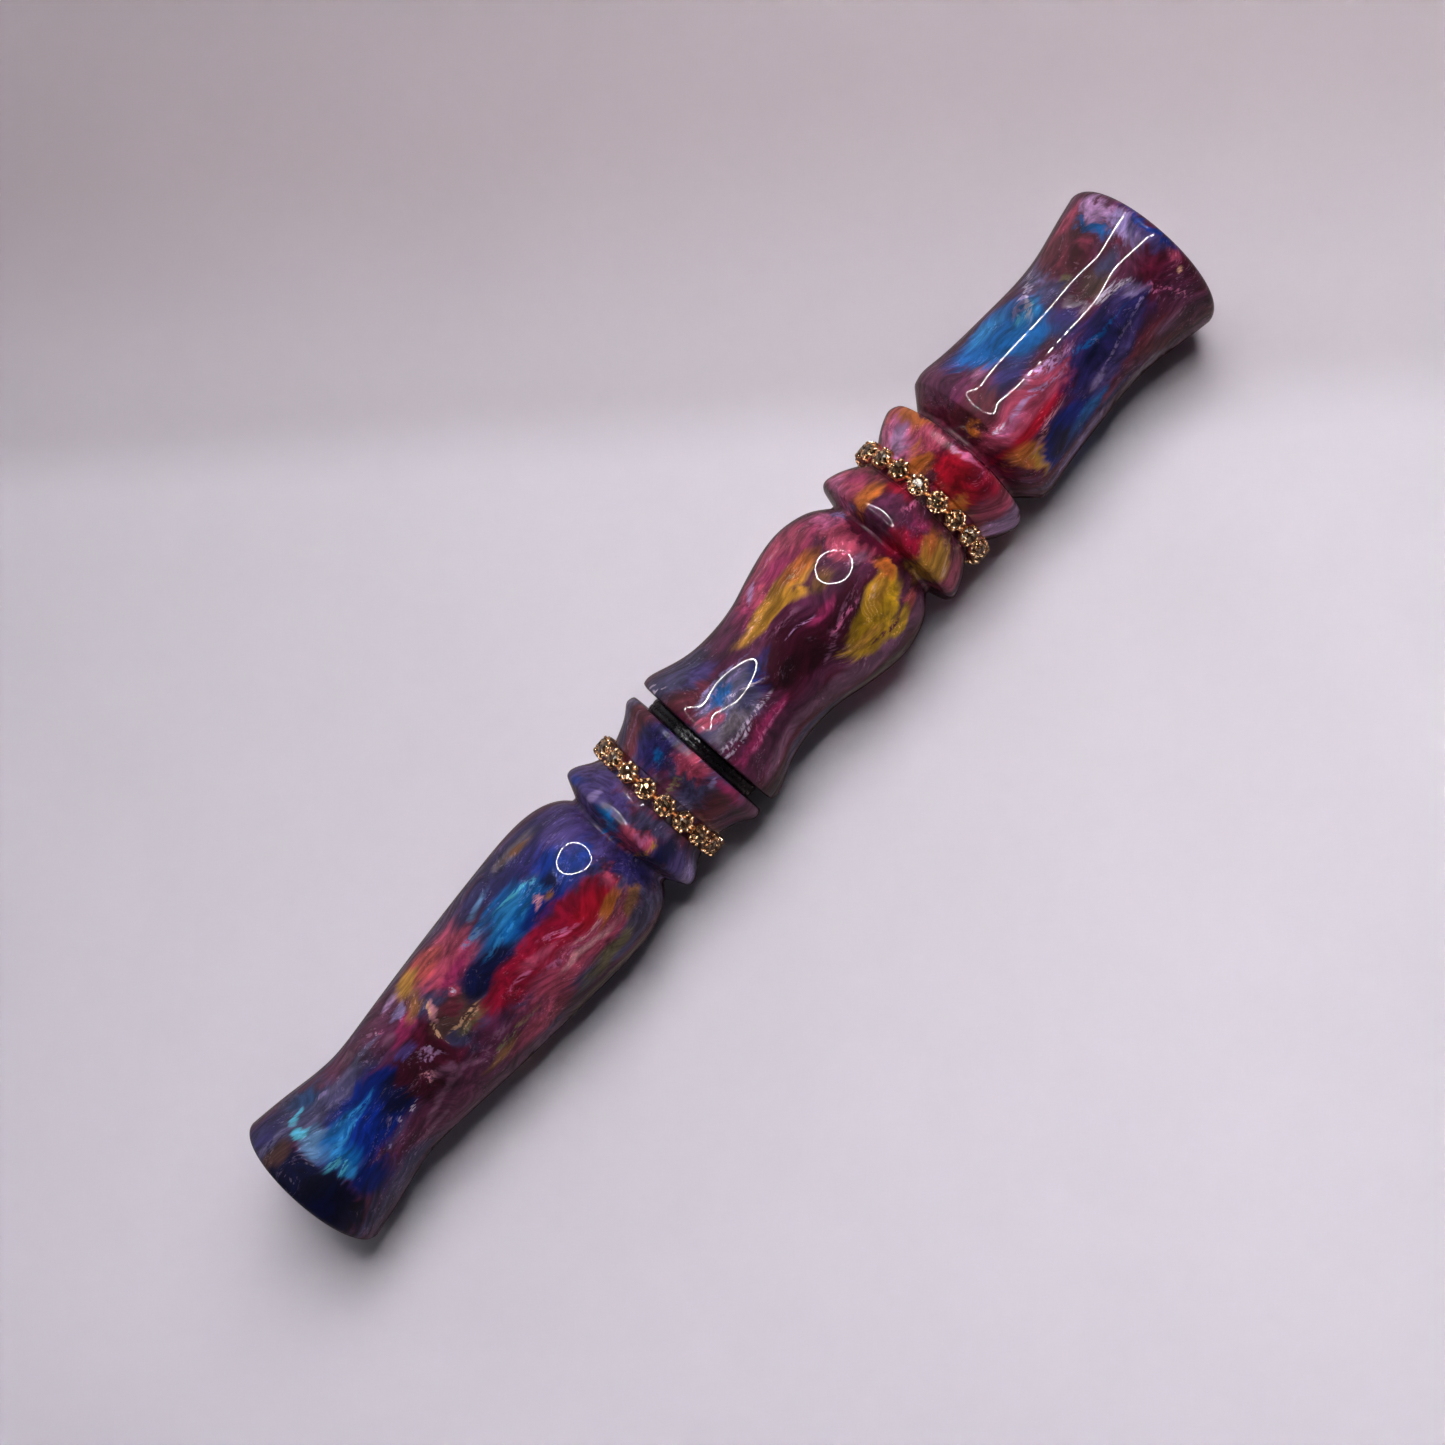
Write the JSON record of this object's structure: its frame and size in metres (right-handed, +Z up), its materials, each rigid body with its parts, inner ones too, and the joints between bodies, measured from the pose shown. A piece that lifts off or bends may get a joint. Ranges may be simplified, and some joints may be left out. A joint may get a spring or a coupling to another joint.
{
  "type": "duck call",
  "caption": "Slender turned resin duck call: barrel and pull-out insert with tone board, reeds and cork, rubber joint ring, and a rhinestone cup chain round each half.",
  "frame": {"origin": "under the middle of the call, on the surface it lies on", "axes": "+X along the call's axis towards the mouth end, +Z up as the call lies on its side, +Y completes the frame"},
  "size_m": [0.1652, 0.0244, 0.0244],
  "materials": {
    "barrel_resin": "pearlescent swirled casting resin, magenta, plum, gold and blue, polished to a wet gloss",
    "insert_resin": "pearlescent swirled casting resin, cobalt, plum, crimson and orange, polished to a wet gloss",
    "tone_board_plastic": "satin moulded plastic",
    "reed_film": "clear polyester film",
    "cork": "matt natural cork",
    "black_rubber": "smooth black rubber",
    "chain_metal": "bright rose-gold plating",
    "rhinestone": "foiled champagne cut glass"
  },
  "bodies": {
    "barrel": {"barrel": "barrel_resin", "barrel_band": "chain_metal", "barrel_stone_01": "rhinestone", "barrel_stone_02": "rhinestone", "barrel_stone_03": "rhinestone", "barrel_stone_04": "rhinestone", "barrel_stone_05": "rhinestone", "barrel_stone_06": "rhinestone", "barrel_stone_07": "rhinestone", "barrel_stone_08": "rhinestone", "barrel_stone_09": "rhinestone", "barrel_stone_10": "rhinestone", "barrel_stone_11": "rhinestone", "barrel_stone_12": "rhinestone", "barrel_stone_13": "rhinestone", "barrel_stone_14": "rhinestone", "barrel_stone_15": "rhinestone", "barrel_stone_16": "rhinestone", "barrel_stone_17": "rhinestone", "barrel_stone_18": "rhinestone", "barrel_stone_19": "rhinestone"},
    "joint_ring": {"joint_ring": "black_rubber"},
    "insert": {"insert": "insert_resin", "insert_band": "chain_metal", "tone_board": "tone_board_plastic", "cork_wedge": "cork", "rear_o_ring": "black_rubber", "front_o_ring": "black_rubber", "insert_stone_01": "rhinestone", "insert_stone_02": "rhinestone", "insert_stone_03": "rhinestone", "insert_stone_04": "rhinestone", "insert_stone_05": "rhinestone", "insert_stone_06": "rhinestone", "insert_stone_07": "rhinestone", "insert_stone_08": "rhinestone", "insert_stone_09": "rhinestone", "insert_stone_10": "rhinestone", "insert_stone_11": "rhinestone", "insert_stone_12": "rhinestone", "insert_stone_13": "rhinestone", "insert_stone_14": "rhinestone", "insert_stone_15": "rhinestone", "insert_stone_16": "rhinestone", "insert_stone_17": "rhinestone", "insert_stone_18": "rhinestone", "insert_stone_19": "rhinestone"},
    "reeds": {"bottom_reed": "reed_film", "top_reed": "reed_film"}
  },
  "joints": [
    {"name": "insert_pull", "type": "slide", "parent": "barrel", "child": "joint_ring", "axis": [-1, 0, 0], "range_m": [0, 0.058]},
    {"name": "insert_twist", "type": "hinge", "parent": "joint_ring", "child": "insert", "pos_m": [-0.00625, 0, 0.0122], "axis": [1, 0, 0], "continuous": true},
    {"name": "reed_flex", "type": "hinge", "parent": "insert", "child": "reeds", "pos_m": [0.02035, 0, 0.01223], "axis": [0, 1, 0], "range_deg": [0, 1.5], "stiffness_Nm_per_rad": 0.05}
  ]
}
